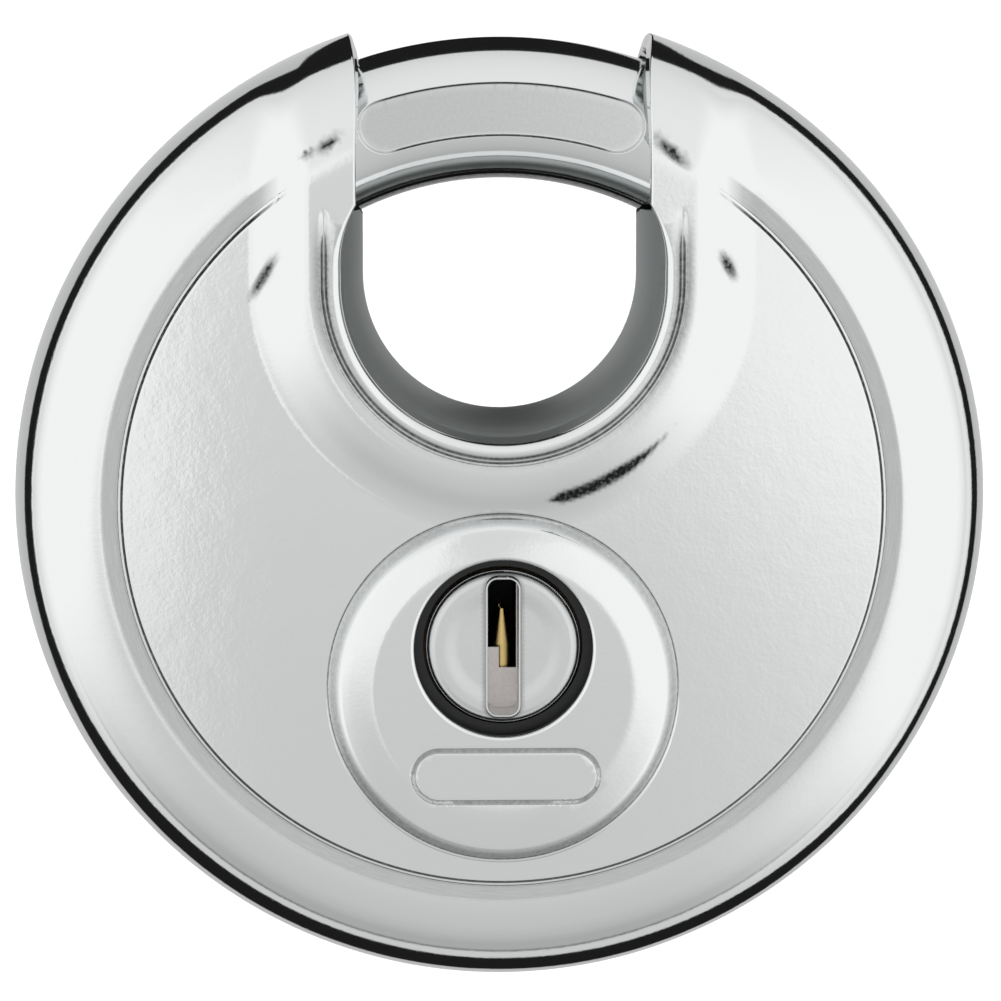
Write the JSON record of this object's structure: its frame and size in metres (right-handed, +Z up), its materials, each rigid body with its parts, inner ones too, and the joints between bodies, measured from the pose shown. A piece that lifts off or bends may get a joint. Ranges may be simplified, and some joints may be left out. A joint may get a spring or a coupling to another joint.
{
  "type": "disc padlock",
  "caption": "Round stainless disc padlock with a shrouded turning shackle in a U-shaped throat, a boss with a keyhole, and a pin-tumbler lock inside.",
  "frame": {"origin": "centre of the exposed shackle bar, by which the lock hangs; the disc axis is 36 mm below it along Z", "axes": "+Z up as the lock hangs, +X to the right seen from the front, +Y from the keyhole side to the back, along the disc axis"},
  "size_m": [0.09, 0.0267, 0.088],
  "materials": {
    "polished_steel": "mirror-polished stainless steel",
    "hardened_steel": "ground hardened steel",
    "shackle_steel": "polished hardened alloy steel",
    "satin_steel": "satin hardened steel",
    "zinc_casting": "die-cast",
    "plain_steel": "zinc-plated steel",
    "brass": "turned brass",
    "nickel_silver": "plated brass, fine cast grain",
    "spring_wire": "bright spring wire"
  },
  "bodies": {
    "lock_body": {"front_shell": "polished_steel", "rear_shell": "polished_steel", "throat_liner": "hardened_steel", "anti_drill_plate": "hardened_steel", "lock_core": "zinc_casting", "core_cover": "plain_steel", "cover_screws": "plain_steel", "barrel": "brass", "chamber_strip": "brass", "barrel_screw": "plain_steel", "pin_spring_1": "spring_wire", "pin_spring_2": "spring_wire", "pin_spring_3": "spring_wire", "pin_spring_4": "spring_wire", "pin_spring_5": "spring_wire"},
    "shackle_set": {"shackle": "shackle_steel", "tail_plate": "plain_steel", "tail_rivets": "plain_steel"},
    "plug_set": {"plug": "nickel_silver", "face_rotor": "satin_steel", "plug_clip": "plain_steel", "crank": "plain_steel", "crank_pin": "hardened_steel"},
    "key_pin_body_1": {"key_pin_1": "brass"},
    "driver_pin_body_1": {"driver_pin_1": "brass"},
    "key_pin_body_2": {"key_pin_2": "brass"},
    "driver_pin_body_2": {"driver_pin_2": "brass"},
    "key_pin_body_3": {"key_pin_3": "brass"},
    "driver_pin_body_3": {"driver_pin_3": "brass"},
    "key_pin_body_4": {"key_pin_4": "brass"},
    "driver_pin_body_4": {"driver_pin_4": "brass"},
    "key_pin_body_5": {"key_pin_5": "brass"},
    "driver_pin_body_5": {"driver_pin_5": "brass"}
  },
  "joints": [
    {"name": "shackle_turn", "type": "hinge", "parent": "lock_body", "child": "shackle_set", "pos_m": [0, 0, -0.036], "axis": [0, 1, 0], "range_deg": [0, 60]},
    {"name": "plug_turn", "type": "hinge", "parent": "lock_body", "child": "plug_set", "pos_m": [0, 0, -0.04865], "axis": [0, 1, 0], "range_deg": [0, 120]},
    {"name": "key_pin_slide_1", "type": "slide", "parent": "plug_set", "child": "key_pin_body_1", "axis": [0, 0, 1], "range_m": [0, 0.0024]},
    {"name": "driver_pin_slide_1", "type": "slide", "parent": "lock_body", "child": "driver_pin_body_1", "axis": [0, 0, -1], "range_m": [0, 0.0024], "stiffness_N_per_m": 120, "springref_m": -0.001, "deforming": ["pin_spring_1"]},
    {"name": "key_pin_slide_2", "type": "slide", "parent": "plug_set", "child": "key_pin_body_2", "axis": [0, 0, 1], "range_m": [0, 0.0024]},
    {"name": "driver_pin_slide_2", "type": "slide", "parent": "lock_body", "child": "driver_pin_body_2", "axis": [0, 0, -1], "range_m": [0, 0.0024], "stiffness_N_per_m": 120, "springref_m": -0.001, "deforming": ["pin_spring_2"]},
    {"name": "key_pin_slide_3", "type": "slide", "parent": "plug_set", "child": "key_pin_body_3", "axis": [0, 0, 1], "range_m": [0, 0.0024]},
    {"name": "driver_pin_slide_3", "type": "slide", "parent": "lock_body", "child": "driver_pin_body_3", "axis": [0, 0, -1], "range_m": [0, 0.0024], "stiffness_N_per_m": 120, "springref_m": -0.001, "deforming": ["pin_spring_3"]},
    {"name": "key_pin_slide_4", "type": "slide", "parent": "plug_set", "child": "key_pin_body_4", "axis": [0, 0, 1], "range_m": [0, 0.0024]},
    {"name": "driver_pin_slide_4", "type": "slide", "parent": "lock_body", "child": "driver_pin_body_4", "axis": [0, 0, -1], "range_m": [0, 0.0024], "stiffness_N_per_m": 120, "springref_m": -0.001, "deforming": ["pin_spring_4"]},
    {"name": "key_pin_slide_5", "type": "slide", "parent": "plug_set", "child": "key_pin_body_5", "axis": [0, 0, 1], "range_m": [0, 0.0024]},
    {"name": "driver_pin_slide_5", "type": "slide", "parent": "lock_body", "child": "driver_pin_body_5", "axis": [0, 0, -1], "range_m": [0, 0.0024], "stiffness_N_per_m": 120, "springref_m": -0.001, "deforming": ["pin_spring_5"]}
  ],
  "couplings": [
    {"joint": "plug_turn", "follows": "shackle_turn", "ratio": 2}
  ]
}
